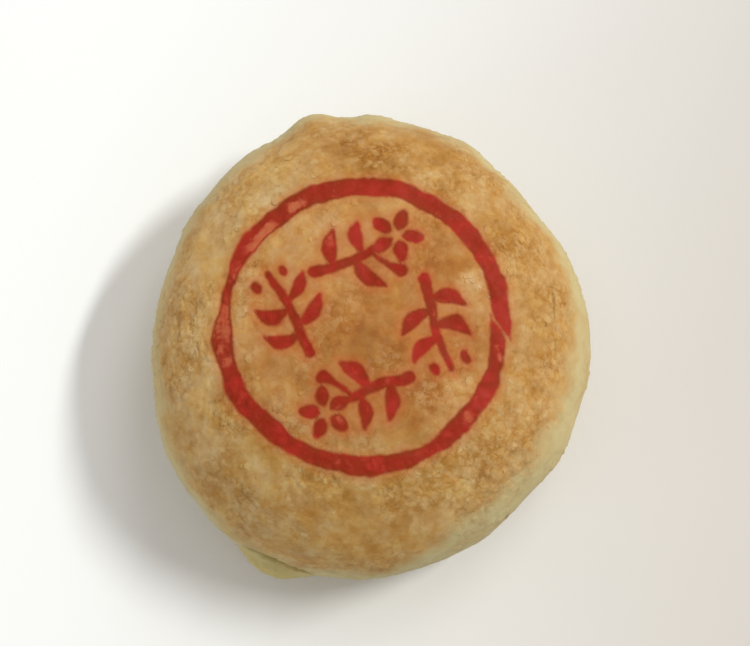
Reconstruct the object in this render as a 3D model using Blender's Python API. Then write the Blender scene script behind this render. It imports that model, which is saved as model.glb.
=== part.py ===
"""A whole round mooncake of flaky pastry, stamped side up: one closed solid that stands on its flat, griddled base.

Blender 4.5, metres, +Z up. The origin is at the middle of the base, and azimuths run anticlockwise from +X.
"""

import math

import bmesh
import bpy
from mathutils import Matrix, Vector, noise

MM = 0.001

# Driving dimensions, in millimetres
HEIGHT = 30.0
BELT_RADIUS = 35.75  # mean radius at the belt, where the side bulges most
BELT_HEIGHT = 12.0
BASE_RADIUS = 27.0  # the flat that was pressed on the griddle
SEGMENTS = 100  # round the belt
BASE_RINGS = 3
LOWER_RINGS = 10  # from the edge of the base up to the belt
UPPER_RINGS = 22  # from the belt over the shoulder to the middle of the top

# Roundness of the two halves of the profile: 2 is an ellipse, and more is squarer
LOWER_POWER = 2.2
SHOULDER_POWER = 3.1  # along the radius: high, so that the top is broad and nearly flat
CROWN_POWER = 2.15  # along the height

# The plan isn't a true circle: (lobes, how far each stands out in mm, azimuth of the first in degrees)
PLAN_LOBES = (
    (2, 1.15, 81.0),
    (3, 0.80, -10.0),
    (4, 0.16, 4.0),
)

# Soft lumps of the filling under the pastry
LUMP_DEPTH = 0.45
LUMP_SPACING = 15.0
FINE_LUMP_DEPTH = 0.18
FINE_LUMP_SPACING = 6.0
LUMP_FADE_HEIGHT = 6.0  # over this height above the base they come in, so that the base stays flat

# Folds of dough: each pushes the side out by reach between two azimuths and two heights, or draws it in
FOLDS = (
    {"azimuth": 245.0, "half_width": 14.0, "low": 0.4, "high": 10.5, "reach": 2.9},  # lip squeezed out at the base
    {"azimuth": 246.0, "half_width": 15.0, "low": 8.6, "high": 13.5, "reach": -0.9},  # crease above the lip
    {"azimuth": 247.0, "half_width": 17.0, "low": 8.0, "high": 24.0, "reach": -1.3},  # side that leans back over it
    {"azimuth": 104.0, "half_width": 9.0, "low": 8.0, "high": 27.0, "reach": 2.0},  # corner at the back left
    {"azimuth": 88.0, "half_width": 7.0, "low": 9.0, "high": 24.0, "reach": 0.5},
    {"azimuth": 63.0, "half_width": 9.0, "low": 6.0, "high": 26.0, "reach": 1.0},
    {"azimuth": 72.0, "half_width": 8.0, "low": 2.0, "high": 26.0, "reach": 0.4},
    {"azimuth": 40.0, "half_width": 13.0, "low": 0.5, "high": 27.5, "reach": -0.9},  # flatter between the swells
    {"azimuth": 312.0, "half_width": 20.0, "low": 0.5, "high": 27.5, "reach": -0.8},
    {"azimuth": 343.0, "half_width": 20.0, "low": 0.5, "high": 27.5, "reach": -0.7},
    {"azimuth": 284.0, "half_width": 22.0, "low": 0.5, "high": 27.5, "reach": -0.45},
    {"azimuth": 222.0, "half_width": 10.0, "low": 0.5, "high": 27.5, "reach": -0.5},
    {"azimuth": 145.0, "half_width": 11.0, "low": 2.0, "high": 27.5, "reach": 0.5},
)

CRUST_COLOUR = (0.47, 0.25, 0.085, 1.0)
CRUST_ROUGHNESS = 0.62


def clear_scene():
    for obj in list(bpy.data.objects):
        bpy.data.objects.remove(obj, do_unlink=True)


def profile_points():
    """(radius, height) in mm, from the middle of the base, round the side, to the middle of the top."""
    points = [(BASE_RADIUS * i / BASE_RINGS, 0.0) for i in range(BASE_RINGS + 1)]
    side_width = BELT_RADIUS - BASE_RADIUS
    for i in range(1, LOWER_RINGS + 1):
        angle = math.pi / 2 * i / LOWER_RINGS
        out = math.sin(angle) ** (2 / LOWER_POWER)
        down = math.cos(angle) ** (2 / LOWER_POWER)
        points.append((BASE_RADIUS + side_width * out, BELT_HEIGHT * (1 - down)))
    for i in range(1, UPPER_RINGS + 1):
        angle = math.pi / 2 * i / UPPER_RINGS
        out = max(math.cos(angle), 0.0) ** (2 / SHOULDER_POWER)
        up = math.sin(angle) ** (2 / CROWN_POWER)
        points.append((BELT_RADIUS * out, BELT_HEIGHT + (HEIGHT - BELT_HEIGHT) * up))
    points[-1] = (0.0, HEIGHT)
    return points


def lathe(points):
    """A closed turned body: the profile is spun once round Z."""
    bm = bmesh.new()
    verts = [bm.verts.new((radius, 0.0, height)) for radius, height in points]
    edges = [bm.edges.new(pair) for pair in zip(verts, verts[1:])]
    bmesh.ops.spin(
        bm, geom=verts + edges, cent=(0, 0, 0), axis=(0, 0, 1), angle=math.tau, steps=SEGMENTS
    )
    bmesh.ops.remove_doubles(bm, verts=bm.verts, dist=0.001)
    bmesh.ops.recalc_face_normals(bm, faces=bm.faces)
    return bm


def hump(distance, half_width):
    """1 at no distance, falling smoothly to 0 at half_width."""
    if abs(distance) >= half_width:
        return 0.0
    return 0.5 + 0.5 * math.cos(math.pi * distance / half_width)


def turn_between(azimuth, other):
    """The smaller turn between two azimuths, in degrees."""
    return (azimuth - other + 180.0) % 360.0 - 180.0


def plan_scale(azimuth):
    """How much wider than round the plan is at an azimuth."""
    stand_out = sum(
        reach * math.cos(lobes * math.radians(azimuth - first)) for lobes, reach, first in PLAN_LOBES
    )
    return 1 + stand_out / BELT_RADIUS


def fold_reach(azimuth, height):
    """How far the folds of dough push the side out there."""
    total = 0.0
    for fold in FOLDS:
        middle = (fold["low"] + fold["high"]) / 2
        half_height = (fold["high"] - fold["low"]) / 2
        turned = turn_between(azimuth, fold["azimuth"])
        total += fold["reach"] * hump(turned, fold["half_width"]) * hump(height - middle, half_height)
    return total


def lump_height(point):
    """How far the filling pushes the pastry out there, and nothing at the base."""
    coarse = LUMP_DEPTH * noise.noise(point / LUMP_SPACING)
    fine = FINE_LUMP_DEPTH * noise.noise(point / FINE_LUMP_SPACING + Vector((7.0, 3.0, 1.0)))
    return (coarse + fine) * min(point.z / LUMP_FADE_HEIGHT, 1.0)


def shape_by_hand(bm):
    """Turns the round body into a hand-made one: uneven plan, folds of dough and soft lumps."""
    bm.normal_update()
    moves = []
    for vert in bm.verts:
        x, y, height = vert.co
        azimuth = math.degrees(math.atan2(y, x))
        scale = plan_scale(azimuth)
        spot = Vector((x * scale, y * scale, height))
        outward = Vector((x, y, 0.0))
        if outward.length > 0:
            spot += outward.normalized() * fold_reach(azimuth, height)
        if height > 0:
            spot += vert.normal * lump_height(spot)
        moves.append(spot)
    for vert, spot in zip(bm.verts, moves):
        vert.co = spot


def centre_on_base(bm):
    """Moves the body so that the middle of its box is over the origin, and its base is at no height."""
    low = [min(vert.co[i] for vert in bm.verts) for i in range(3)]
    high = [max(vert.co[i] for vert in bm.verts) for i in range(3)]
    bmesh.ops.translate(
        bm, verts=bm.verts, vec=(-(low[0] + high[0]) / 2, -(low[1] + high[1]) / 2, -low[2])
    )


def crust_material():
    material = bpy.data.materials.new("baked_crust")
    material.use_nodes = True
    shader = material.node_tree.nodes["Principled BSDF"]
    shader.inputs["Base Color"].default_value = CRUST_COLOUR
    shader.inputs["Roughness"].default_value = CRUST_ROUGHNESS
    shader.inputs["Metallic"].default_value = 0.0
    return material


def make_mooncake():
    bm = lathe(profile_points())
    shape_by_hand(bm)
    centre_on_base(bm)
    bmesh.ops.transform(bm, matrix=Matrix.Scale(MM, 4), verts=bm.verts)
    bmesh.ops.triangulate(bm, faces=bm.faces)
    mesh = bpy.data.meshes.new("mooncake")
    bm.to_mesh(mesh)
    bm.free()
    mesh.shade_smooth()
    mesh.materials.append(crust_material())
    mooncake = bpy.data.objects.new("mooncake", mesh)
    bpy.context.scene.collection.objects.link(mooncake)


clear_scene()
make_mooncake()
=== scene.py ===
import math
import random

import bpy
import numpy as np
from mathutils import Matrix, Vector, noise


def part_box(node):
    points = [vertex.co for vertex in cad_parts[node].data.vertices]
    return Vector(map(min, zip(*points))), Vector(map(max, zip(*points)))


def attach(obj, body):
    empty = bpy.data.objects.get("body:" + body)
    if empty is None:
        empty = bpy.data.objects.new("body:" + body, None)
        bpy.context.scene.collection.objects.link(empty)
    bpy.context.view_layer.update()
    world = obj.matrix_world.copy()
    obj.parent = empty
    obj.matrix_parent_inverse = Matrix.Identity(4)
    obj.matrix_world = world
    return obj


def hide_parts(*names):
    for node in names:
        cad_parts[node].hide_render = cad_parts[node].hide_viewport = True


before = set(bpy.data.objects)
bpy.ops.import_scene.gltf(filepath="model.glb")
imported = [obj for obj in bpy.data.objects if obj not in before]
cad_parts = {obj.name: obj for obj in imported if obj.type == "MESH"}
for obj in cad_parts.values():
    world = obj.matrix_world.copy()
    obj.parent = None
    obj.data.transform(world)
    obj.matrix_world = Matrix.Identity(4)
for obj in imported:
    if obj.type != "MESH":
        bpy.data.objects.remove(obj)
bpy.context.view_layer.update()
mm = 0.001
bodyLow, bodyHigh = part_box("mooncake")
bodyCentre = (bodyLow + bodyHigh) / 2
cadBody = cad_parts["mooncake"]


def onlySelect(piece):
    bpy.ops.object.select_all(action="DESELECT")
    piece.select_set(True)
    bpy.context.view_layer.objects.active = piece


def applyModifier(piece, kind, **settings):
    onlySelect(piece)
    modifier = piece.modifiers.new(kind.lower(), kind)
    for name, value in settings.items():
        setattr(modifier, name, value)
    bpy.ops.object.modifier_apply(modifier=modifier.name)


def readPoints(piece):
    found = np.empty(len(piece.data.vertices) * 3, np.float32)
    piece.data.vertices.foreach_get("co", found)
    return found.reshape(-1, 3).astype(float)


def writePoints(piece, points):
    piece.data.vertices.foreach_set("co", points.astype(np.float32).ravel())
    piece.data.update()


def readNormals(piece):
    found = np.empty(len(piece.data.vertices) * 3, np.float32)
    piece.data.vertex_normals.foreach_get("vector", found)
    return found.reshape(-1, 3).astype(float)


def writeValues(piece, name, values):
    kept = piece.data.attributes.new(name, "FLOAT", "POINT")
    kept.data.foreach_set("value", values.astype(np.float32))


def fadeBetween(values, low, high):
    share = np.clip((values - low) / (high - low), 0.0, 1.0)
    return share * share * (3 - 2 * share)


def atLeast(least, share):
    # the share from 0 to 1, squeezed so that it starts at the least
    return least + (1 - least) * share


def azimuthOf(points, centre=(0.0, 0.0)):
    return np.degrees(np.arctan2(points[:, 1] - centre[1], points[:, 0] - centre[0]))


def turnFrom(azimuth, bearing):
    # how many degrees lie between two azimuths, either way round
    return np.abs((azimuth - bearing + 180) % 360 - 180)


def surfaceAt(body, start, way):
    # where a straight line from a point meets a body
    return body.ray_cast(start, way)[1]


# ---- camera, lights and table
cameraPlan = {
    "elevation": 79.0,  # degrees above the table
    "azimuth": -90.0,  # in front of the mooncake
    "distance": 0.300,
    "aim": Vector((0.00055, 0.0036, 0.012)),
    "lens": 90.6,
    "nearest": 0.01,
}
keyLight = {
    "elevation": 48.5,
    "azimuth": 19.5,  # from +X, turned a little to the back
    "distance": 2.5,
    "width": 0.20,
    "length": 0.95,
    "roll": 60.0,
    "power": 37.5,
    "colour": (0.985, 1.0, 0.975),
}
fillLight = {
    "elevation": 50.0,
    "azimuth": 58.0,
    "distance": 2.5,
    "width": 1.1,
    "length": 1.1,
    "roll": 0.0,
    "power": 10.5,
    "colour": (1.0, 0.99, 0.97),
}
# a low, weak light for the side that is turned away from the others
sideLight = {
    "elevation": 12.0,
    "azimuth": 208.0,
    "distance": 2.5,
    "width": 1.2,
    "length": 0.8,
    "roll": 0.0,
    "power": 8.5,
    "colour": (1.0, 0.97, 0.93),
}
# the table's colour is painted lighter on the left and darker on the right: painted light and shade across
# it
tablePlan = {
    "size": 3.0,
    "left": (0.935, 0.965, 0.965),
    "right": (0.640, 0.606, 0.560),
    "fade": (-70.0, 100.0),  # mm across, from the left colour to the right one
    "slant": 0.2,
    "roughness": 0.9,
}
roomLight = {"colour": (1.0, 0.945, 0.915), "strength": 0.49}


def towards(azimuth, elevation):
    turn, rise = math.radians(azimuth), math.radians(elevation)
    return Vector((math.cos(turn) * math.cos(rise), math.sin(turn) * math.cos(rise), math.sin(rise)))


def lookFrom(thing, place, target):
    thing.location = place
    thing.rotation_euler = (target - place).to_track_quat("-Z", "Y").to_euler()


def makeCamera():
    bpy.ops.object.camera_add()
    camera = bpy.context.object
    back = towards(cameraPlan["azimuth"], cameraPlan["elevation"])
    lookFrom(camera, cameraPlan["aim"] + back * cameraPlan["distance"], cameraPlan["aim"])
    camera.data.lens = cameraPlan["lens"]
    camera.data.clip_start = cameraPlan["nearest"]
    bpy.context.scene.camera = camera


def makeLamp(name, plan):
    bpy.ops.object.light_add(type="AREA")
    lamp = bpy.context.object
    lamp.name = name
    side = towards(plan["azimuth"], plan["elevation"])
    lookFrom(lamp, bodyCentre + side * plan["distance"], bodyCentre)
    lamp.rotation_euler.rotate_axis("Z", math.radians(plan["roll"]))
    lamp.data.shape = "ELLIPSE"
    lamp.data.size = plan["width"]
    lamp.data.size_y = plan["length"]
    lamp.data.energy = plan["power"]
    lamp.data.color = plan["colour"]


def makeLights():
    makeLamp("keyLight", keyLight)
    makeLamp("fillLight", fillLight)
    makeLamp("sideLight", sideLight)
    world = bpy.data.worlds.new("room")
    world.use_nodes = True
    background = world.node_tree.nodes["Background"]
    background.inputs["Color"].default_value = (*roomLight["colour"], 1.0)
    background.inputs["Strength"].default_value = roomLight["strength"]
    bpy.context.scene.world = world
    bpy.context.scene.view_settings.view_transform = "Standard"


print("camera and lights")
makeCamera()
makeLights()


# ---- shader maths: sockets that add, subtract and multiply like plain numbers
class Wire:
    def __init__(self, maker, socket):
        self.maker = maker
        self.socket = socket

    def maths(self, operation, first, second):
        return self.maker.node("ShaderNodeMath", {"operation": operation}, {0: first, 1: second})

    def __add__(self, other):
        return self.maths("ADD", self, other)

    def __radd__(self, other):
        return self.maths("ADD", other, self)

    def __sub__(self, other):
        return self.maths("SUBTRACT", self, other)

    def __rsub__(self, other):
        return self.maths("SUBTRACT", other, self)

    def __mul__(self, other):
        return self.maths("MULTIPLY", self, other)

    def __rmul__(self, other):
        return self.maths("MULTIPLY", other, self)


class ShaderMaker:
    def __init__(self, name):
        self.material = bpy.data.materials.new(name)
        self.material.use_nodes = True
        self.tree = self.material.node_tree
        self.tree.nodes.clear()

    def node(self, kind, settings, values, output=0):
        made = self.tree.nodes.new(kind)
        for name, value in settings.items():
            if name == "stops":
                self.setStops(made.color_ramp, value)
            else:
                setattr(made, name, value)
        for name, value in values.items():
            if isinstance(value, Wire):
                self.tree.links.new(value.socket, made.inputs[name])
            else:
                made.inputs[name].default_value = value
        return Wire(self, made.outputs[output]) if len(made.outputs) else made

    def setStops(self, ramp, stops):
        while len(ramp.elements) < len(stops):
            ramp.elements.new(1.0)
        for element, (place, colour) in zip(ramp.elements, stops):
            element.position = place
            element.color = (*colour, 1.0)

    def places(self):
        spot = self.node("ShaderNodeTexCoord", {}, {}, "Object")
        return self.node("ShaderNodeVectorMath", {"operation": "SCALE"}, {0: spot, "Scale": 1 / mm})

    def axis(self, place, name):
        return self.node("ShaderNodeSeparateXYZ", {}, {0: place}, name)

    def moved(self, place, shift):
        return self.node("ShaderNodeVectorMath", {"operation": "ADD"}, {0: place, 1: shift})

    def value(self, name):
        return self.node("ShaderNodeAttribute", {"attribute_name": name}, {}, "Fac")

    def cloud(self, place, size, detail, rough, warp):
        values = {"Vector": place, "Scale": 1 / size, "Detail": detail, "Roughness": rough}
        return self.node("ShaderNodeTexNoise", {}, {**values, "Distortion": warp}, "Fac")

    def cells(self, place, size, feature="F1", output="Distance"):
        values = {"Vector": place, "Scale": 1 / size}
        return self.node("ShaderNodeTexVoronoi", {"feature": feature}, values, output)

    def cellShade(self, place, size):
        # a number that each cell keeps all over: adding nothing makes one of its colour
        return self.cells(place, size, output="Color") + 0.0

    def stirred(self, place, size, amount):
        noises = {"Vector": place, "Scale": 1 / size, "Detail": 3.0}
        stir = self.node("ShaderNodeTexNoise", {}, noises, "Color")
        values = {0: stir, 1: (amount, amount, amount), 2: place}
        return self.node("ShaderNodeVectorMath", {"operation": "MULTIPLY_ADD"}, values)

    def fade(self, value, low, high, start=0.0, end=1.0):
        values = {"Value": value, "From Min": low, "From Max": high, "To Min": start, "To Max": end}
        return self.node("ShaderNodeMapRange", {"interpolation_type": "SMOOTHSTEP"}, values)

    def blend(self, share, first, second, mode="MIX"):
        settings = {"data_type": "RGBA", "blend_type": mode}
        first = (*first, 1.0) if isinstance(first, tuple) else first
        second = (*second, 1.0) if isinstance(second, tuple) else second
        return self.node("ShaderNodeMix", settings, {0: share, 6: first, 7: second}, 2)

    def uneven(self, value, patterns, amounts):
        # a value pushed up and down by patterns that run from 0 to 1
        for name, amount in amounts.items():
            value = value + (patterns[name] - 0.5) * amount
        return value

    def bump(self, height, distance, strength):
        values = {"Height": height, "Distance": distance, "Strength": strength}
        return self.node("ShaderNodeBump", {}, values, "Normal")

    def finish(self, values):
        shader = self.node("ShaderNodeBsdfPrincipled", {}, values)
        self.node("ShaderNodeOutputMaterial", {"target": "ALL"}, {"Surface": shader})
        return self.material


def tone(red, green, blue):
    # a screen colour, 0 to 255, as the linear colour that sockets take
    parts = [part / 255 for part in (red, green, blue)]
    return tuple(p / 12.92 if p <= 0.04045 else ((p + 0.055) / 1.055) ** 2.4 for p in parts)


def makeTable():
    bpy.ops.mesh.primitive_plane_add(size=tablePlan["size"], location=(0, 0, 0))
    table = bpy.context.object
    table.name = "tableTop"
    make = ShaderMaker("palePaper")
    place = make.places()
    # painted light on the left, fading to painted shade on the right
    across = make.axis(place, "X") - make.axis(place, "Y") * tablePlan["slant"]
    colour = make.blend(make.fade(across, *tablePlan["fade"]), tablePlan["left"], tablePlan["right"])
    table.data.materials.append(make.finish({"Base Color": colour, "Roughness": tablePlan["roughness"]}))


print("table")
makeTable()


# ---- noise that shapes the pastry, read at places in millimetres
def clouds(spots, size, seed, octaves=1):
    shift = Vector((seed * 3.7, seed * 1.3, seed * 7.1))
    return np.array([noise.fractal(Vector(p) / size + shift, 0.8, 2.1, octaves) for p in spots])


def cellsAt(spots, size, seed):
    # to the nearest and the next cell's middle, and a number from 0 to 1 that each cell keeps
    shift = Vector((seed * 2.9, seed * 5.3, seed * 1.9))
    near, gap, pick = [], [], []
    for p in spots:
        distances, middles = noise.voronoi(Vector(p) / size + shift)
        near.append(distances[0])
        gap.append(distances[1] - distances[0])
        pick.append(abs(noise.cell(middles[0] * 53.1)) % 1.0)
    return np.array(near) * size, np.array(gap) * size, np.array(pick)


def humps(spots, places):
    # the sum of soft spots on the plan: x, y and radius in millimetres, and strength
    total = np.zeros(len(spots))
    for x, y, radius, strength in places:
        away = np.hypot(spots[:, 0] - x, spots[:, 1] - y) / radius
        total += strength * (1 - fadeBetween(away, 0.2, 1.3))
    return total


# ---- the stamp: a ring, and four brush-drawn sprigs in it, as how deep a place is in the ink
depthLimit = 3.0  # mm: depths past this, in or out, aren't told apart
stampPlan = {
    "centre": (-1.3, 0.35),
    "radius": 21.2,
    "width": 2.85,
    "waver": 0.24,
    "waverSize": 6.0,
    "ragged": 0.26,
    "raggedSize": 2.6,
    "lowest": 20.0,  # mm above the table: nothing is stamped further down
    "inside": (17.0, 20.0),  # mm from its centre, over which the skin inside the ring ends
    "patchyInk": 0.25,
    # where the band changes: azimuth, half angle, wider by, further out by, in mm
    "bands": (
        (10, 16, 0.05, -0.42),
        (30, 14, -0.1, 0.0),
        (50, 40, 0.4, 0.0),
        (75, 20, 0.2, 0.25),
        (104, 30, 0.65, 0.05),
        (122, 18, 0.4, -0.15),
        (135, 14, 0.25, 0.0),
        (150, 14, 0.0, 0.25),
        (160, 14, -1.0, -0.1),
        (172, 14, -1.15, -0.1),
        (184, 12, 0.6, -0.05),
        (210, 13, 0.75, 0.35),
        (227, 13, 0.55, -0.2),
        (250, 14, -0.4, 0.0),
        (270, 14, 0.35, 0.1),
        (283, 34, -0.1, 0.40),
        (299, 12, -0.7, 0.25),
        (315, 14, 0.1, -0.2),
        (333, 20, 0.0, -0.15),
    ),
    # where the skin has slipped the band is gone, and two tapering ends lie past each other instead
    "slip": {"middle": -7.0, "half": 17.0},
    "ends": (
        (
            (18.0, 21.1, 3.0),
            (10.0, 20.75, 2.9),
            (5.0, 20.85, 2.8),
            (0.2, 21.35, 2.3),
            (-3.0, 21.7, 1.4),
            (-6.5, 22.2, 0.4),
        ),
        (
            (3.6, 19.2, 0.3),
            (0.0, 19.5, 0.8),
            (-3.0, 19.8, 1.6),
            (-6.5, 20.25, 2.2),
            (-13.0, 20.6, 2.3),
            (-19.3, 20.95, 2.5),
            (-25.0, 21.0, 2.8),
            (-31.0, 21.05, 2.7),
        ),
    ),
    # where the ink is thin: x, y, radius in mm, and how thin
    "dry": (
        (-18.2, 12.0, 1.2, 0.5),
        (-17.4, 13.2, 1.4, 0.9),
        (-16.2, 14.6, 1.4, 0.9),
        (-15.2, 15.7, 1.3, 0.8),
        (-12.0, 18.4, 1.2, 0.9),
        (-10.8, 19.0, 1.2, 0.7),
        (19.4, -5.0, 1.0, 0.9),
        (18.9, -3.4, 0.9, 0.5),
        (14.2, -14.0, 1.5, 0.4),
        (-20.8, 8.0, 2.4, 0.5),
        (-22.4, 2.4, 2.4, 0.5),
        (-22.6, -1.0, 2.6, 0.7),
        (-22.2, -4.6, 2.2, 0.5),
        (10.3, 2.4, 1.6, 0.5),
        (-6.0, 13.0, 1.6, 0.3),
        (-4.0, -13.5, 1.8, 0.4),
    ),
}
blossomSprig = (
    ((-6.3, -6.1, 2.2), (-3.2, -4.0, 1.8), (-0.2, -1.1, 1.6), (1.8, 1.5, 1.4)),
    ((-3.8, -4.0, 1.0), (-5.4, -1.7, 2.7), (-5.8, 1.0, 0.9)),
    ((-1.2, -2.2, 1.0), (1.6, -3.9, 2.8), (4.5, -4.3, 0.9)),
    ((-0.4, -0.7, 0.9), (-2.2, 1.3, 2.4), (-3.0, 3.6, 0.8)),
    ((1.2, -0.2, 0.9), (4.0, -1.0, 1.2), (6.2, -1.2, 2.4)),
)
leafySprig = (
    ((-5.9, -5.6, 2.2), (-2.5, -2.7, 1.8), (1.6, 0.8, 1.6), (5.0, 5.0, 1.3)),
    ((-3.5, -3.2, 1.0), (-5.5, -0.8, 2.8), (-5.4, 2.2, 0.9)),
    ((0.0, -0.4, 1.0), (-2.0, 2.1, 2.8), (-1.6, 5.1, 0.9)),
    ((-2.0, -2.4, 1.0), (0.8, -4.2, 2.8), (3.9, -4.6, 0.9)),
    ((1.5, 0.6, 1.0), (4.3, -0.8, 2.6), (6.9, -0.7, 0.8)),
    ((2.2, 6.0, 1.9), (2.6, 6.6, 1.7)),
    ((6.2, 2.5, 1.8), (6.6, 3.0, 1.6)),
)
# which sprig, where its middle is, how far it is turned, its size
sprigPlaces = (
    ("blossom", (-0.8, 11.5), -20.0, 0.98),
    ("leafy", (-12.6, 2.2), 74.0, 0.90),
    ("leafy", (10.0, -0.4), -118.0, 0.92),
    ("blossom", (-2.2, -11.3), 158.0, 0.96),
)
# a blossom's petals: how many, round which point, the turn of the first, and radius and width along each
petalPlan = {
    "count": 5,
    "middle": (3.6, 3.7),
    "first": 18.0,
    "marks": ((1.15, 0.8), (2.4, 2.5), (3.5, 1.7)),
}


def petals():
    strokes = []
    x, y = petalPlan["middle"]
    for i in range(petalPlan["count"]):
        turn = math.radians(petalPlan["first"] + 360 / petalPlan["count"] * i)
        marks = petalPlan["marks"]
        strokes.append(tuple((x + r * math.cos(turn), y + r * math.sin(turn), w) for r, w in marks))
    return tuple(strokes)


def smoothStroke(stroke, steps=5):
    # a soft curve through a stroke's own points, each with its width
    marks = [np.array(mark) for mark in stroke]
    marks = [2 * marks[0] - marks[1]] + marks + [2 * marks[-1] - marks[-2]]
    found = []
    for a, b, c, d in zip(marks, marks[1:], marks[2:], marks[3:]):
        for i in range(steps):
            t = i / steps
            bend = (2 * a - 5 * b + 4 * c - d) * t**2 + (3 * b - a - 3 * c + d) * t**3
            found.append(0.5 * (2 * b + (c - a) * t + bend))
    return found + [marks[-2]]


def strokeDepth(places, marks):
    # how deep each place is in a stroke, in mm, and less than nothing outside; a mark ends with its width
    deepest = np.full(len(places), -3 * depthLimit)
    for a, b in zip(marks, marks[1:]):
        along = b[:-1] - a[:-1]
        share = np.clip((places - a[:-1]) @ along / max(along @ along, 1e-9), 0.0, 1.0)
        away = np.linalg.norm(places - a[:-1] - share[:, None] * along, axis=1)
        deepest = np.maximum(deepest, (a[-1] + (b[-1] - a[-1]) * share) / 2 - away)
    return deepest


def ringDepth(places, waver):
    centre = np.array(stampPlan["centre"])
    radius = np.hypot(*(places - centre).T)
    azimuth = azimuthOf(places, centre)
    width = np.full(len(places), stampPlan["width"])
    middle = stampPlan["radius"] + waver
    for bearing, half, wider, outwards in stampPlan["bands"]:
        share = 1 - fadeBetween(turnFrom(azimuth, bearing), 0.0, half)
        width += wider * share
        middle = middle + outwards * share
    depth = width / 2 - np.abs(radius - middle)
    slip = stampPlan["slip"]
    depth = np.minimum(depth, np.radians(np.abs(azimuth - slip["middle"]) - slip["half"]) * radius)
    for end in stampPlan["ends"]:
        marks = []
        for bearing, away, thick in end:
            turn = math.radians(bearing)
            marks.append((centre[0] + away * math.cos(turn), centre[1] + away * math.sin(turn), thick))
        depth = np.maximum(depth, strokeDepth(places, smoothStroke(marks)))
    return depth


def inkDepth(spots):
    depth = np.full(len(spots), -depthLimit)
    top = spots[:, 2] > stampPlan["lowest"]
    ragged = np.stack([clouds(spots[top], stampPlan["raggedSize"], seed, 3) for seed in (5, 6)], 1)
    places = spots[top, :2] + stampPlan["ragged"] * ragged
    found = ringDepth(places, stampPlan["waver"] * clouds(spots[top], stampPlan["waverSize"], 3))
    sprigs = {"blossom": blossomSprig + petals(), "leafy": leafySprig}
    for kind, middle, turned, size in sprigPlaces:
        turn = math.radians(turned)
        across = np.array(((math.cos(turn), -math.sin(turn)), (math.sin(turn), math.cos(turn))))
        local = (places - np.array(middle)) @ across / size
        for stroke in sprigs[kind]:
            found = np.maximum(found, size * strokeDepth(local, smoothStroke(stroke)))
    depth[top] = found
    return np.clip(depth, -depthLimit, depthLimit)


def inkThinness(spots):
    patchy = stampPlan["patchyInk"] * clouds(spots, stampPlan["raggedSize"], 9, 3)
    return np.clip(humps(spots, stampPlan["dry"]) + patchy, 0.0, 1.0)


def inRing(spots):
    x, y = stampPlan["centre"]
    away = np.hypot(spots[:, 0] - x, spots[:, 1] - y)
    return (1 - fadeBetween(away, *stampPlan["inside"])) * (spots[:, 2] > stampPlan["lowest"])


# ---- crust
crustPlan = {
    "rim": 27.0,  # mm from the middle, where the grid on top meets the rows of the side
    "foot": 26.0,  # and where the rows meet the grid underneath
    "rays": 240,  # that find the side's profile
    "span": 72,  # faces along each side of a grid
    "rows": 60,  # down the side
    "sink": 0.06,  # mm that the skin lies inside the solid, so that its relief has room
    "evenOut": 8,  # smoothing steps before the faces are cut into four
    "soften": 24,  # and after it
    "flatBelow": 0.02,
    "above": 60.0,  # mm above the table, well over the top
    "crackDepth": 0.12,
    "crackEdge": (-0.35, 0.1),
    "creaseDepth": 1.0,
    "creaseEdge": (-0.9, 0.3),
    "pressedBase": 0.05,
    "baseRelief": 0.15,  # share of the relief that the base keeps
    "baseHeights": (0.0, 3.0),
    "wrinkles": ((7.5, 0.26, 11, 2), (3.4, 0.18, 12, 2)),  # size, height, seed, octaves
    "sideWrinkles": 0.35,  # share of the wrinkles' height that the side keeps
    "topHeights": (16.0, 27.0),  # mm above the table, over which the side turns into the top
    "patchSize": 8.0,
    "patchFade": (-0.75, 0.55),
    "roughFrom": 12.0,  # mm above the table: the rough spots are only on the skin above it
    "calmRing": 0.10,
    "skin": ((3.1, 0.20, 0.10, 1.9, 41), (1.55, 0.12, 0.06, 1.2, 43)),  # cell, step, crease, warp, seed
    "warpSize": 3.4,
    "blisterSize": 1.6,
    "blisterHeight": 0.22,
    "blisterWarp": 0.6,
    "unblistered": 0.6,  # share of the cells that hold no blister
    "grain": 0.08,
    "grainSize": 0.95,
    "inkSink": 0.05,  # mm that the stamp presses the skin in
    # small swells and flats of the side: azimuth, half angle, and how far out, in mm
    "swells": ((231.0, 9.0, -0.35), (261.0, 12.0, -0.6)),
    "toastAmount": 0.8,
    "toastWarp": 3.2,
    "toastWarpSize": 4.0,
    "toastHeights": (8.0, 16.0),
    "sideFade": 7.5,  # mm down from where the pale side begins to where it is pale all over
    "sideWander": 1.8,
    "sideWanderSize": 5.0,
    # the lip of raw dough, and the painted shade with an olive tint on the front: azimuth, and over which
    # turn from it they fade
    "lip": (245.0, 3.0, 18.0),
    "lipHeights": (8.0, 12.0),
    "oliveShade": (256.0, 15.0, 90.0),
}
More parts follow.
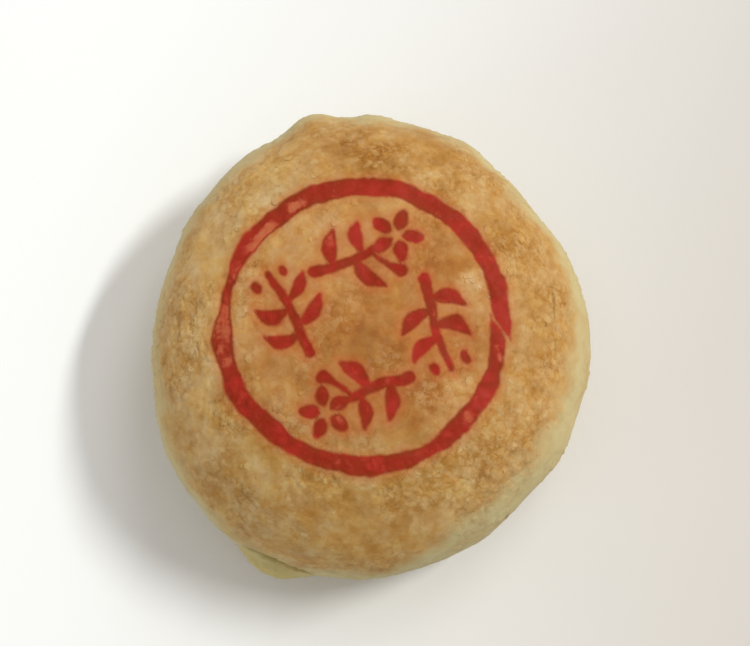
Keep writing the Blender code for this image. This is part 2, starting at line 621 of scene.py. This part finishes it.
# how toasted the skin is: x, y, radius in mm, and more or less than the rest; the paler spots on the left
# are partly painted light, and the browner ones on the right partly painted shade
broadToastAndPaintedLight = (
    (-1.0, -1.0, 20.0, 0.38),
    (1.0, -9.0, 12.0, 0.16),
    (10.0, -31.0, 14.0, 0.14),
    (24.0, -22.0, 10.0, 0.12),
    (30.0, -4.0, 12.0, 0.14),
    (23.0, 9.0, 9.0, 0.10),
    (20.0, 20.0, 12.0, 0.10),
    (-2.0, 27.0, 9.0, 0.14),
    (10.0, 31.0, 8.0, 0.22),
    (-27.0, 4.0, 12.0, -0.18),
    (-22.0, 22.0, 14.0, -0.16),
    (-24.0, -12.0, 10.0, -0.10),
    (-9.0, 11.0, 8.0, -0.22),
)
brownSpots = (
    (10.2, 10.8, 5.0, 0.36),
    (9.0, 17.0, 3.6, 0.22),
    (1.6, 25.8, 3.6, 0.34),
    (-3.6, 26.6, 3.2, 0.26),
    (6.6, 25.4, 2.6, 0.24),
    (11.5, 22.2, 2.2, 0.28),
    (18.6, 13.0, 3.0, 0.24),
    (0.6, 6.8, 3.2, 0.16),
    (0.6, -2.4, 4.2, 0.14),
    (15.2, -2.8, 3.6, 0.28),
    (5.8, -12.2, 3.4, 0.30),
    (10.6, -7.8, 3.0, 0.16),
    (-15.4, -7.0, 4.0, 0.12),
    (-20.6, -11.5, 4.2, 0.24),
    (-15.0, -16.2, 3.6, 0.20),
    (-9.6, -21.2, 4.4, 0.22),
    (-4.6, -25.6, 4.2, 0.24),
    (-10.6, -27.0, 3.2, 0.18),
    (3.0, -26.0, 3.6, 0.14),
    (11.2, -21.0, 4.0, 0.18),
    (17.5, -20.0, 3.6, 0.20),
    (24.6, -15.4, 3.6, 0.22),
    (1.0, -31.8, 3.2, 0.14),
    (-16.2, 10.2, 2.8, 0.22),
    (-28.6, 3.2, 3.2, 0.22),
    (-30.0, -6.5, 3.4, 0.18),
    (-21.5, -21.0, 3.2, 0.16),
    (24.2, 4.2, 2.0, 0.26),
    (22.5, 7.2, 2.6, 0.22),
)
paleSpots = (
    (15.0, 6.0, 3.6, -0.46),
    (12.2, -10.8, 3.6, -0.30),
    (6.0, -6.6, 2.6, -0.16),
    (-15.4, 20.6, 3.2, -0.20),
    (-28.0, 12.0, 3.4, -0.14),
    (14.6, -23.8, 3.0, -0.20),
    (-26.0, -9.0, 3.4, -0.16),
    (-10.0, -16.0, 2.8, -0.16),
    (-5.5, 17.0, 3.0, -0.16),
)
# where the skin has flaked most: x, y, radius in mm, strength
roughSpots = (
    (-20.0, 18.0, 7.0, 0.5),
    (-29.0, 4.0, 8.0, 0.5),
    (-18.0, 8.0, 3.0, 0.5),
    (23.0, 9.0, 6.0, 0.5),
    (15.0, 6.0, 3.8, 0.7),
    (12.0, -10.0, 5.0, 0.6),
    (-22.0, -12.0, 8.0, 0.5),
    (-13.0, -14.0, 4.0, 0.5),
    (-8.0, -24.0, 7.0, 0.4),
    (16.0, -22.0, 8.0, 0.5),
    (2.0, 25.0, 6.0, 0.4),
    (-11.0, 12.0, 6.0, -0.7),
    (2.0, 2.0, 6.0, -0.5),
    (4.0, -15.0, 5.0, -0.4),
)
# dark cracks on top: x, y and width in mm at each point
topCracks = (
    ((27.7, 6.9, 0.1), (28.0, 5.0, 0.5), (28.0, 3.0, 0.5), (27.9, 1.6, 0.1)),
    ((28.0, 0.6, 0.25), (28.0, 0.0, 0.25)),
    ((28.1, -1.2, 0.1), (28.0, -2.4, 0.35), (28.0, -4.0, 0.1)),
    ((-19.4, -24.7, 0.06), (-18.6, -25.4, 0.24), (-17.6, -26.7, 0.06)),
    ((20.8, -3.9, 0.1), (21.3, -3.8, 0.3), (22.2, -3.85, 0.1)),
)
# the crease over the lip of dough, cut into the skin and painted with shade: azimuth, and height and width
# in mm
creaseMarks = (
    (239.5, 12.3, 0.1),
    (243.0, 11.9, 0.5),
    (246.5, 11.5, 0.9),
    (250.0, 11.4, 0.7),
    (254.0, 11.5, 0.1),
)
# where the pale side begins: azimuth, and height in mm
sideStart = (
    (0.0, 25.4),
    (25.0, 23.8),
    (55.0, 24.5),
    (85.0, 23.5),
    (105.0, 24.0),
    (140.0, 24.5),
    (180.0, 23.5),
    (215.0, 22.5),
    (245.0, 17.5),
    (275.0, 21.5),
    (300.0, 25.5),
    (325.0, 26.5),
)


def sidePath(plan):
    # evenly spaced radius and height down the side, from the rim of the top to the foot
    found = []
    centre = Vector((0, 0, bodyCentre.z))
    for step in range(plan["rays"] + 1):
        angle = math.radians(90 - 180 * step / plan["rays"])
        place = surfaceAt(cadBody, centre, Vector((math.cos(angle), 0, math.sin(angle))))
        found.append((place.x / mm, place.z / mm))
    found = np.array(found)
    upper = found[:, 1] > bodyCentre.z / mm
    top = np.flatnonzero((found[:, 0] >= plan["rim"]) & upper)[0]
    bottom = np.flatnonzero((found[:, 0] >= plan["foot"]) & ~upper)[-1]
    path = found[top : bottom + 1]
    length = np.concatenate(([0.0], np.cumsum(np.linalg.norm(np.diff(path, axis=0), axis=1))))
    even = np.linspace(0.0, length[-1], plan["rows"] + 1)
    return [(np.interp(s, length, path[:, 0]), np.interp(s, length, path[:, 1])) for s in even]


def snapToBody(piece, method="NEAREST_SURFACEPOINT"):
    applyModifier(piece, "SHRINKWRAP", target=cadBody, wrap_method=method, use_negative_direction=True)


def makeCrustBlank(plan):
    # a gridded disc, its edge drawn down the side row by row, and the underside gridded again
    path = sidePath(plan)
    radius, height = path[0]
    bpy.ops.object.select_all(action="DESELECT")
    bpy.ops.mesh.primitive_circle_add(
        vertices=4 * plan["span"], radius=radius * mm, location=(0, 0, height * mm)
    )
    crust = bpy.context.object
    crust.name = "crust"
    bpy.ops.object.transform_apply(location=True)
    bpy.ops.object.mode_set(mode="EDIT")
    bpy.ops.mesh.select_all(action="SELECT")
    bpy.ops.mesh.fill_grid(span=plan["span"], offset=0)
    bpy.ops.mesh.select_all(action="DESELECT")
    bpy.ops.mesh.select_non_manifold()
    for (radius, height), (nextRadius, nextHeight) in zip(path, path[1:]):
        grow = nextRadius / radius
        bpy.ops.mesh.extrude_region()
        bpy.ops.transform.resize(value=(grow, grow, 1), center_override=(0, 0, 0))
        bpy.ops.transform.translate(value=(0, 0, (nextHeight - height) * mm))
    bpy.ops.mesh.fill_grid(span=plan["span"], offset=0)
    bpy.ops.mesh.select_all(action="SELECT")
    bpy.ops.mesh.normals_make_consistent(inside=False)
    bpy.ops.object.mode_set(mode="OBJECT")
    snapToBody(crust, "PROJECT")
    applyModifier(crust, "SMOOTH", factor=0.5, iterations=plan["evenOut"])
    snapToBody(crust)
    return crust


def refineCrust(crust, plan):
    # the top and the side get four faces for each, and the underside stays coarser
    onlySelect(crust)
    bpy.ops.object.mode_set(mode="EDIT")
    bpy.ops.mesh.select_all(action="DESELECT")
    bpy.ops.mesh.select_mode(type="FACE")
    bpy.ops.object.mode_set(mode="OBJECT")
    for face in crust.data.polygons:
        outer = math.hypot(*face.center.xy) > plan["foot"] * mm
        face.select = outer or face.center.z > plan["flatBelow"] * mm
    bpy.ops.object.mode_set(mode="EDIT")
    bpy.ops.mesh.subdivide(number_cuts=1)
    bpy.ops.object.mode_set(mode="OBJECT")
    snapToBody(crust)
    applyModifier(crust, "SMOOTH", factor=0.5, iterations=plan["soften"])


def patchAt(spots, plan):
    # 0 where the skin is smooth, 1 where it has flaked
    upper = spots[:, 2] > plan["roughFrom"]
    worn = clouds(spots, plan["patchSize"], 31, 2) - plan["calmRing"] * inRing(spots)
    return fadeBetween(worn + humps(spots, roughSpots) * upper, *plan["patchFade"])


def skinRelief(spots, plan):
    # how far the pastry stands out, in mm, and how it differs from flake to flake
    total = np.zeros(len(spots))
    tint = np.zeros(len(spots))
    wrinkled = atLeast(plan["sideWrinkles"], fadeBetween(spots[:, 2], *plan["topHeights"]))
    for size, height, seed, octaves in plan["wrinkles"]:
        total += height * clouds(spots, size, seed, octaves) * wrinkled
    warp = np.stack([clouds(spots, plan["warpSize"], seed, 3) for seed in (21, 22, 23)], 1)
    patch = patchAt(spots, plan)
    # flakes of skin that have come off in steps, with a wrinkle along each edge
    for size, step, crease, bend, seed in plan["skin"]:
        near, gap, pick = cellsAt(spots + bend * warp, size, seed)
        total += step * (pick - 0.5) * fadeBetween(gap, 0.0, 0.35) * patch
        total -= crease * (1 - fadeBetween(gap, 0.05, 0.45)) * patch
        tint += (pick - 0.5) * atLeast(0.3, patch) + 0.6 * (1 - fadeBetween(gap, 0.05, 0.4)) * patch
    # small blisters, in only some of their cells
    near, gap, pick = cellsAt(spots + plan["blisterWarp"] * warp, plan["blisterSize"], 42)
    swell = (1 - fadeBetween(near, 0.1, 0.45 * plan["blisterSize"])) * (pick > plan["unblistered"])
    total += plan["blisterHeight"] * swell * atLeast(0.2, patch)
    tint -= 0.6 * swell * atLeast(0.1, patch)
    total += plan["grain"] * clouds(spots, plan["grainSize"], 51, 2) * atLeast(0.3, patch)
    total -= plan["inkSink"] * fadeBetween(inkDepth(spots), -0.2, 0.3)
    return total, tint, patch


def crackDepth(spots):
    deepest = np.full(len(spots), -depthLimit)
    for crack in topCracks:
        path = []
        for x, y, width in smoothStroke(crack, 4):
            place = surfaceAt(cadBody, Vector((x, y, crustPlan["above"])) * mm, Vector((0, 0, -1)))
            path.append(np.array((*place / mm, width)))
        deepest = np.maximum(deepest, strokeDepth(spots, path))
    return deepest


def creaseDepth(spots):
    path = []
    for azimuth, height, width in smoothStroke(creaseMarks, 6):
        place = surfaceAt(cadBody, Vector((0, 0, height * mm)), towards(azimuth, 0))
        path.append(np.array((*place / mm, width)))
    return np.maximum(strokeDepth(spots, path), -depthLimit)


def toasting(spots, plan):
    warp = np.stack([clouds(spots, plan["toastWarpSize"], seed, 3) for seed in (61, 62)], 1)
    shifted = spots.copy()
    shifted[:, :2] += plan["toastWarp"] * warp
    toasted = humps(shifted, broadToastAndPaintedLight + brownSpots + paleSpots)
    return plan["toastAmount"] * toasted * fadeBetween(spots[:, 2], *plan["toastHeights"])


def nearBearing(spots, bearing, near, far):
    # 1 on the side that faces a bearing, and 0 away from it
    return 1 - fadeBetween(turnFrom(azimuthOf(spots), bearing), near, far)


def sideShare(spots, plan):
    # how far the skin is the side of the mooncake, which the griddle didn't touch
    wander = plan["sideWander"] * clouds(spots, plan["sideWanderSize"], 71, 2)
    start = np.interp(azimuthOf(spots), *zip(*sideStart), period=360)
    return 1 - fadeBetween(spots[:, 2] + wander, start - plan["sideFade"], start)


def lipShare(spots, plan):
    # the lip of raw dough squeezed out at the front left
    return nearBearing(spots, *plan["lip"]) * (1 - fadeBetween(spots[:, 2], *plan["lipHeights"]))


def sideSwell(spots, plan):
    # the side's own small swells, strongest at its widest
    total = np.zeros(len(spots))
    for bearing, half, reach in plan["swells"]:
        total += reach * nearBearing(spots, bearing, 0.0, half)
    return total * fadeBetween(spots[:, 2], 1.0, 5.0) * (1 - fadeBetween(spots[:, 2], 17.0, 24.0))


def pressInside(points):
    # nothing stands out of the measured box, and the underside stays flat on the table
    return np.clip(points, np.array(bodyLow), np.array(bodyHigh))


# the map of the crust: the middle of each round picture, its radius there, and the mm that it takes in
mapPlan = {
    "top": (0.345, 0.655),
    "topRadius": 0.335,
    "topReach": 62.0,
    "under": (0.84, 0.16),
    "underRadius": 0.15,
    "underReach": 30.0,
    "unroll": 0.85,  # mm outwards for each mm down the side
    "unrollFrom": (12.0, 30.0),
    "underBelow": 1.2,
    "underFacing": -0.7,
}


def roundMap(middle, radius, around):
    return np.stack((middle[0] + radius * np.cos(around), middle[1] + radius * np.sin(around)), 1)


def discMap(crust, plan):
    # the upper skin and the underside, each laid out as a round picture
    points = readPoints(crust) / mm
    flat = np.hypot(points[:, 0], points[:, 1])
    around = np.arctan2(points[:, 1], points[:, 0])
    drop = bodyHigh.z / mm - points[:, 2]
    layer = crust.data.uv_layers.new(name="OFBake")
    corner = np.empty(len(crust.data.loops), np.int32)
    crust.data.loops.foreach_get("vertex_index", corner)
    under = np.zeros(len(corner), bool)
    for face in crust.data.polygons:
        if face.center.z < plan["underBelow"] * mm and face.normal.z < plan["underFacing"]:
            under[face.loop_start : face.loop_start + face.loop_total] = True
    unrolled = flat + plan["unroll"] * drop * fadeBetween(flat, *plan["unrollFrom"])
    topUv = roundMap(plan["top"], unrolled / plan["topReach"] * plan["topRadius"], around)
    lowUv = roundMap(plan["under"], flat / plan["underReach"] * plan["underRadius"], around)
    uv = np.where(under[:, None], lowUv[corner], topUv[corner])
    layer.uv.foreach_set("vector", uv.astype(np.float32).ravel())


def dressSkin(piece, spots, relief, tint, patch, toast):
    # what the finish reads at each point of a piece
    writeValues(piece, "ink", inkDepth(spots))
    writeValues(piece, "crack", crackDepth(spots))
    writeValues(piece, "crease", creaseDepth(spots))
    writeValues(piece, "relief", relief)
    writeValues(piece, "tint", tint)
    writeValues(piece, "patch", patch)
    writeValues(piece, "toast", toast)
    writeValues(piece, "side", sideShare(spots, crustPlan))
    # how far a place lies in the painted shade, with an olive tint, on the front
    writeValues(piece, "tanned", nearBearing(spots, *crustPlan["oliveShade"]))
    writeValues(piece, "lip", lipShare(spots, crustPlan))
    writeValues(piece, "thin", inkThinness(spots))
    writeValues(piece, "stamped", inRing(spots))


def makeCrust(plan):
    crust = makeCrustBlank(plan)
    refineCrust(crust, plan)
    spots = readPoints(crust) / mm
    relief, tint, patch = skinRelief(spots, plan)
    relief -= plan["crackDepth"] * fadeBetween(crackDepth(spots), *plan["crackEdge"])
    # the base was pressed flat, so it keeps little of the relief
    raised = fadeBetween(spots[:, 2], *plan["baseHeights"])
    relief = relief * atLeast(plan["baseRelief"], raised) - plan["pressedBase"] * (1 - raised)
    crease = plan["creaseDepth"] * fadeBetween(creaseDepth(spots), *plan["creaseEdge"])
    out = relief + sideSwell(spots, plan) - crease - plan["sink"]
    points = readPoints(crust) + readNormals(crust) * out[:, None] * mm
    writePoints(crust, pressInside(points))
    dressSkin(crust, spots, relief, tint, patch, toasting(spots, plan))
    discMap(crust, mapPlan)
    crust.data.shade_smooth()
    return crust


# ---- crust finish
crustLook = {
    "toast": (
        (0.0, tone(208, 179, 131)),
        (0.25, tone(197, 162, 108)),
        (0.5, tone(183, 140, 83)),
        (0.75, tone(167, 120, 60)),
        (1.0, tone(148, 98, 42)),
    ),
    "toastLevel": 0.355,
    "freshFlake": tone(214, 182, 128),
    "side": tone(195, 179, 130),
    "warmCast": (1.0, 0.925, 0.70),
    # the front is multiplied darker and more olive: painted shade with an olive tint
    "oliveShadeCast": (0.87, 0.93, 0.97),
    "lip": tone(189, 173, 113),
    # the dark of the top cracks, also used for the painted shade in the crease's core
    "crack": tone(108, 84, 42),
    # painted shade round the crease over the lip
    "crease": tone(152, 128, 56),
    "pit": tone(128, 92, 44),
    "base": tone(140, 90, 40),
    "basePale": tone(176, 128, 70),
    "ink": tone(146, 32, 12),
    "inkDark": tone(136, 40, 8),
    "inkBright": tone(170, 36, 28),
    "inkThin": tone(206, 90, 66),
    "bleed": tone(186, 98, 52),
    "chipSize": 1.5,
    "crumbSize": 0.7,
    "pitSize": 2.1,
    "bumpDepth": 0.12,
    "bumpStrength": 0.42,
    "roughness": (0.55, 0.70),
    "sheen": 0.13,
    # how far the patterns push each layer's value up and down
    "uneven": {
        "toast": {"mottle": 0.34, "fleck": 0.13, "blotch": 0.20, "dapple": 0.14},
        "side": {"fleck": 0.4, "dapple": 0.14},
        "tanned": {"mottle": 0.4},
        "foot": {"mottle": 5.0, "dapple": 1.5},
        "baked": {"dapple": 0.2, "fleck": 0.3},
        "ink": {"fleck": 0.24, "speck": 0.12},
        "thin": {"crumb": 0.15, "dapple": 0.4},
        "wet": {"mottle": 1.6},
        "bright": {"dapple": 0.1},
        "crack": {"speck": 0.15},
        "crease": {"fleck": 0.8, "dapple": 0.6},
    },
    # over which of its values each layer fades in
    "edges": {
        "side": (0.05, 0.95),
        "tannedPatch": (0.4, 0.7),
        "freshFlake": (0.60, 0.72),
        "foot": (2.6, 0.2),
        "baked": (0.2, 0.8),
        "bleed": (-1.6, 0.1),
        "wetEdge": (0.0, 0.6),
        "wet": (0.1, 0.9),
        "bright": (0.42, 0.66),
        "thin": (0.1, 0.9),
        "dry": (0.3, 1.0),
        "ink": (-0.26, 0.36),
        "crack": (-0.25, 0.22),
        "crease": (-2.3, 0.1),
        "creaseShadeCore": (-0.5, 0.7),
    },
    # and how far it covers what is under it
    "cover": {
        "tannedPatch": 0.3,
        "freshFlake": 0.26,
        "pit": 0.45,
        "pitOnSide": 0.3,
        "lip": 0.9,
        "foot": 0.85,
        "stamped": 0.20,
        "bleed": 0.40,
        "bright": 0.7,
        "thin": 0.65,
        "ink": 0.96,
        "dry": 0.3,
        "crack": 0.5,
        "crease": 0.65,
        "creaseShadeCore": 0.55,
    },
}


def skinPatterns(make, place, look, patch):
    # clouds of several sizes, then chips of skin with wrinkled edges, crumbs and pits
    ragged = make.stirred(place, 1.8, 2.0)
    pitPlace = make.moved(make.stirred(place, 0.7, 0.5), (7, 1, 5))
    pitPick = make.fade(make.cellShade(pitPlace, look["pitSize"]), 0.50, 0.62)
    return {
        "mottle": make.cloud(place, 5.0, 3.0, 0.55, 0.5),
        "warm": make.fade(make.cloud(make.moved(place, (21, 4, 16)), 3.8, 3.0, 0.6, 0.5), 0.40, 0.60),
        "blotch": make.fade(make.cloud(make.moved(place, (3, 9, 27)), 3.4, 4.0, 0.6, 0.4), 0.38, 0.62),
        "dapple": make.fade(make.cloud(make.moved(place, (13, 2, 8)), 1.5, 3.0, 0.6, 0.3), 0.36, 0.64),
        "fleck": make.cloud(make.moved(place, (31, 7, 3)), 1.4, 3.0, 0.6, 0.6),
        "speck": make.cloud(make.moved(place, (5, 17, 43)), 0.6, 2.0, 0.6, 0.3),
        "chip": make.cellShade(ragged, look["chipSize"]),
        "chipEdge": make.fade(make.cells(ragged, look["chipSize"], "DISTANCE_TO_EDGE"), 0.18, 0.02),
        "crumb": make.cellShade(make.stirred(place, 0.8, 0.9), look["crumbSize"]),
        "pit": make.fade(make.cells(pitPlace, look["pitSize"]), 0.17, 0.07) * pitPick * (0.2 + patch * 0.8),
    }


def bakedColour(make, look, patterns, place, patch):
    uneven, edges, cover = look["uneven"], look["edges"], look["cover"]
    # the toasted top
    toast = make.uneven(make.value("toast") + look["toastLevel"], patterns, uneven["toast"])
    # the relief paints low places darker and high places paler: painted shade in the hollows and painted
    # light on the rises
    toast = toast + make.value("tint") * 0.06 - make.value("relief") * 0.3
    toast = toast + (patterns["chip"] - 0.5) * (0.04 + patch * 0.10) + patterns["chipEdge"] * patch * 0.12
    toast = toast + (patterns["crumb"] - 0.5) * (0.05 + patch * 0.08)
    colour = make.node("ShaderNodeValToRGB", {"stops": look["toast"]}, {0: toast}, "Color")
    colour = make.blend(patterns["warm"], colour, look["warmCast"], "MULTIPLY")
    # the pale side, where some toasted patches show through, then fresh flakes and pits
    side = make.fade(make.uneven(make.value("side"), patterns, uneven["side"]), *edges["side"])
    tannedPatch = make.fade(patterns["mottle"], *edges["tannedPatch"]) * cover["tannedPatch"]
    colour = make.blend(side * (1 - tannedPatch), colour, look["side"])
    fresh = make.fade(patterns["crumb"], *edges["freshFlake"]) * patch * cover["freshFlake"]
    colour = make.blend(fresh, colour, look["freshFlake"])
    colour = make.blend(patterns["pit"] * (cover["pit"] - side * cover["pitOnSide"]), colour, look["pit"])
    # painted shade with an olive tint on the front, the lip of raw dough and the base that lay on the
    # griddle
    tanned = make.uneven(make.value("tanned"), patterns, uneven["tanned"])
    colour = make.blend(tanned, colour, look["oliveShadeCast"], "MULTIPLY")
    colour = make.blend(make.value("lip") * cover["lip"], colour, look["lip"])
    foot = make.fade(make.uneven(make.axis(place, "Z"), patterns, uneven["foot"]), *edges["foot"])
    baked = make.fade(make.uneven(patterns["mottle"], patterns, uneven["baked"]), *edges["baked"])
    return make.blend(foot * cover["foot"], colour, make.blend(baked, look["base"], look["basePale"]))


def stampedColour(make, look, patterns, colour):
    # the stamp's ink: it bleeds round the strokes and gathers darker along their edges
    uneven, edges, cover = look["uneven"], look["edges"], look["cover"]
    ink = make.uneven(make.value("ink"), patterns, uneven["ink"])
    stain = make.value("stamped") * cover["stamped"] + make.fade(ink, *edges["bleed"]) * cover["bleed"]
    colour = make.blend(stain, colour, look["bleed"])
    thin = make.uneven(make.value("thin"), patterns, uneven["thin"]) * make.fade(ink, *edges["wetEdge"])
    gathered = make.fade(make.uneven(ink, patterns, uneven["wet"]), *edges["wet"])
    wet = make.blend(gathered, look["inkDark"], look["ink"])
    bright = make.fade(make.uneven(patterns["mottle"], patterns, uneven["bright"]), *edges["bright"])
    wet = make.blend(bright * cover["bright"], wet, look["inkBright"])
    wet = make.blend(make.fade(thin, *edges["thin"]) * cover["thin"], wet, look["inkThin"])
    covered = cover["ink"] - make.fade(thin, *edges["dry"]) * cover["dry"]
    return make.blend(make.fade(ink, *edges["ink"]) * covered, colour, wet)


def crackedColour(make, look, patterns, colour):
    # the dark cracks on top, and painted shade in the crease over the lip, dark in its core with a wider,
    # softer shade round it
    uneven, edges, cover = look["uneven"], look["edges"], look["cover"]
    crack = make.uneven(make.value("crack"), patterns, uneven["crack"])
    colour = make.blend(make.fade(crack, *edges["crack"]) * cover["crack"], colour, look["crack"])
    crease = make.uneven(make.value("crease"), patterns, uneven["crease"])
    colour = make.blend(make.fade(crease, *edges["crease"]) * cover["crease"], colour, look["crease"])
    return make.blend(make.fade(crease, *edges["creaseShadeCore"]) * cover["creaseShadeCore"], colour, look["crack"])


def skinBumps(make, look, patterns, patch):
    step = (patterns["chip"] - patterns["chipEdge"]) * patch * 0.5
    step = step + patterns["crumb"] * (0.08 + patch * 0.22) - patterns["pit"] * 0.6
    height = step + patterns["fleck"] * 0.5 + patterns["speck"] * 0.1
    return make.bump(height, look["bumpDepth"] * mm, look["bumpStrength"])


def crustMaterial(look):
    make = ShaderMaker("bakedPastry")
    place = make.places()
    patch = make.value("patch")
    patterns = skinPatterns(make, place, look, patch)
    colour = bakedColour(make, look, patterns, place, patch)
    colour = stampedColour(make, look, patterns, colour)
    colour = crackedColour(make, look, patterns, colour)
    values = {
        "Base Color": colour,
        "Roughness": make.fade(patterns["fleck"], 0.3, 0.7, *look["roughness"]),
        "Normal": skinBumps(make, look, patterns, patch),
        "Specular IOR Level": look["sheen"],
    }
    return make.finish(values)


# ---- flakes: thin peels of skin that have lifted
flakePlan = {
    "outline": 8,
    "span": 2,
    "cuts": 3,
    "ragged": (0.5, 0.2),  # of the outline's points, and of the cuts between them
    "shapes": 8,
    "thickness": 0.05,
    "sunk": 0.08,
    "count": 170,
    "heart": 12.0,  # mm above the table, the point that azimuths and elevations are seen from
    "elevation": (-8, 52),
    "length": (0.4, 1.1),
    "slim": (0.55, 0.9),
    "lift": (0.02, 0.10),
    "curl": 1.6,
    "lowBelow": 18,  # degrees: the peels below it lift less
    "lowLift": 0.4,
    "offInk": -0.8,
    "chance": {"everywhere": 0.05, "flaked": 0.9, "side": -0.7},
    # the flakes' relief only feeds their finish, where raising it paints them paler: painted light on the
    # lifted peels
    "reliefShare": 0.5,
    "raised": 0.08,
    "fainter": 0.2,
    "paler": 0.09,
    "sharp": 45,  # degrees between faces, past which an edge stays sharp
    "seed": 7,
}
# peels in known places: azimuth, elevation from the middle, length and width in mm, way it lifts, how far
knownFlakes = (
    (-51.0, 3.0, 1.4, 1.0, 170.0, 0.12),
    (126.0, 32.0, 1.2, 0.8, 40.0, 0.16),
    (150.7, 38.0, 0.9, 0.6, 60.0, 0.16),
    (142.0, 30.0, 1.0, 0.6, 20.0, 0.14),
    (28.0, 46.5, 0.8, 0.45, 120.0, 0.08),
    (21.2, 44.0, 0.9, 0.5, 150.0, 0.09),
    (24.0, 47.5, 0.6, 0.4, 20.0, 0.07),
    (32.0, 44.5, 0.7, 0.4, 250.0, 0.07),
    (15.3, 43.0, 0.8, 0.45, 200.0, 0.08),
    (18.0, 46.0, 0.6, 0.4, 310.0, 0.06),
)


def flakeShape(plan, number):
    # one flat peel of radius 1, with its own ragged outline
    outer, inner = plan["ragged"]
    bpy.ops.object.select_all(action="DESELECT")
    bpy.ops.mesh.primitive_circle_add(vertices=plan["outline"], radius=1.0)
    shape = bpy.context.object
    bpy.ops.object.mode_set(mode="EDIT")
    bpy.ops.mesh.select_all(action="SELECT")
    bpy.ops.transform.vertex_random(offset=outer, uniform=1.0, normal=0.0, seed=number)
    bpy.ops.mesh.fill_grid(span=plan["span"], offset=0)
    bpy.ops.mesh.select_all(action="SELECT")
    bpy.ops.mesh.subdivide(number_cuts=plan["cuts"], smoothness=0.0, fractal=inner, seed=number)
    bpy.ops.mesh.normals_make_consistent(inside=False)
    bpy.ops.object.mode_set(mode="OBJECT")
    return shape


def layFlake(shape, crust, azimuth, elevation, length, width, way, lift, plan):
    # a copy of a peel, laid on the crust with one end sunk in it and the other lifted
    place = surfaceAt(crust, Vector((0, 0, plan["heart"] * mm)), towards(azimuth, elevation))
    out = cadBody.closest_point_on_mesh(place)[2]
    level = Vector((0, 0, 1)).cross(out).normalized()
    rise = out.cross(level)
    turn = math.radians(way)
    along = level * math.cos(turn) + rise * math.sin(turn)
    across = out.cross(along)
    mesh = shape.data.copy()
    for vert in mesh.vertices:
        end = min(max((vert.co.x + 1) / 2, 0.0), 1.0)
        spot = place + (along * vert.co.x * length + across * vert.co.y * width) * mm
        spot = crust.closest_point_on_mesh(spot)[1]
        vert.co = spot + out * (lift * end ** plan["curl"] - plan["sunk"] * (1 - end)) * mm
    flake = bpy.data.objects.new("flake", mesh)
    bpy.context.collection.objects.link(flake)
    return flake


def scatterSpots(crust, plan, draw):
    # loose peels lie where the skin has flaked, seldom on the pale side and never on the ink
    found = []
    chances = plan["chance"]
    while len(found) < plan["count"]:
        azimuth = draw.uniform(-180, 180)
        elevation = draw.uniform(*plan["elevation"])
        size = draw.uniform(*plan["length"])
        slim = draw.uniform(*plan["slim"])
        way = draw.uniform(0, 360)
        lift = draw.uniform(*plan["lift"])
        if elevation < plan["lowBelow"]:
            lift = lift * plan["lowLift"]
        place = surfaceAt(crust, Vector((0, 0, plan["heart"] * mm)), towards(azimuth, elevation))
        spot = np.array([place]) / mm
        inked = inkDepth(spot)[0] > plan["offInk"]
        chance = patchAt(spot, crustPlan)[0] * chances["flaked"] + chances["everywhere"]
        chance += sideShare(spot, crustPlan)[0] * chances["side"]
        if draw.random() < chance and not inked:
            found.append((azimuth, elevation, size, size * slim, way, lift))
    return found


def makeFlakes(crust, plan):
    draw = random.Random(plan["seed"])
    shapes = [flakeShape(plan, number + 1) for number in range(plan["shapes"])]
    laid = []
    for flake in knownFlakes + tuple(scatterSpots(crust, plan, draw)):
        laid.append(layFlake(draw.choice(shapes), crust, *flake, plan))
    for shape in shapes:
        bpy.data.objects.remove(shape, do_unlink=True)
    onlySelect(laid[0])
    for flake in laid:
        flake.select_set(True)
    bpy.ops.object.join()
    flakes = bpy.context.object
    flakes.name = "flakes"
    applyModifier(flakes, "SOLIDIFY", thickness=plan["thickness"] * mm, offset=0.0)
    writePoints(flakes, pressInside(readPoints(flakes)))
    spots = readPoints(flakes) / mm
    relief, tint, patch = skinRelief(spots, crustPlan)
    relief = relief * plan["reliefShare"] + plan["raised"]
    toast = toasting(spots, crustPlan) - plan["paler"]
    dressSkin(flakes, spots, relief, tint - plan["fainter"], patch, toast)
    onlySelect(flakes)
    bpy.ops.object.shade_smooth_by_angle(angle=math.radians(plan["sharp"]))
    return flakes


def countTriangles(piece):
    return sum(len(face.vertices) - 2 for face in piece.data.polygons)


crust = makeCrust(crustPlan)
crust.data.materials.append(crustMaterial(crustLook))
print("crust:", countTriangles(crust), "triangles")

flakes = makeFlakes(crust, flakePlan)
flakes.data.materials.append(crust.data.materials[0])
print("flakes:", countTriangles(flakes), "triangles")

for piece in (crust, flakes):
    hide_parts("mooncake")
    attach(piece, "root")
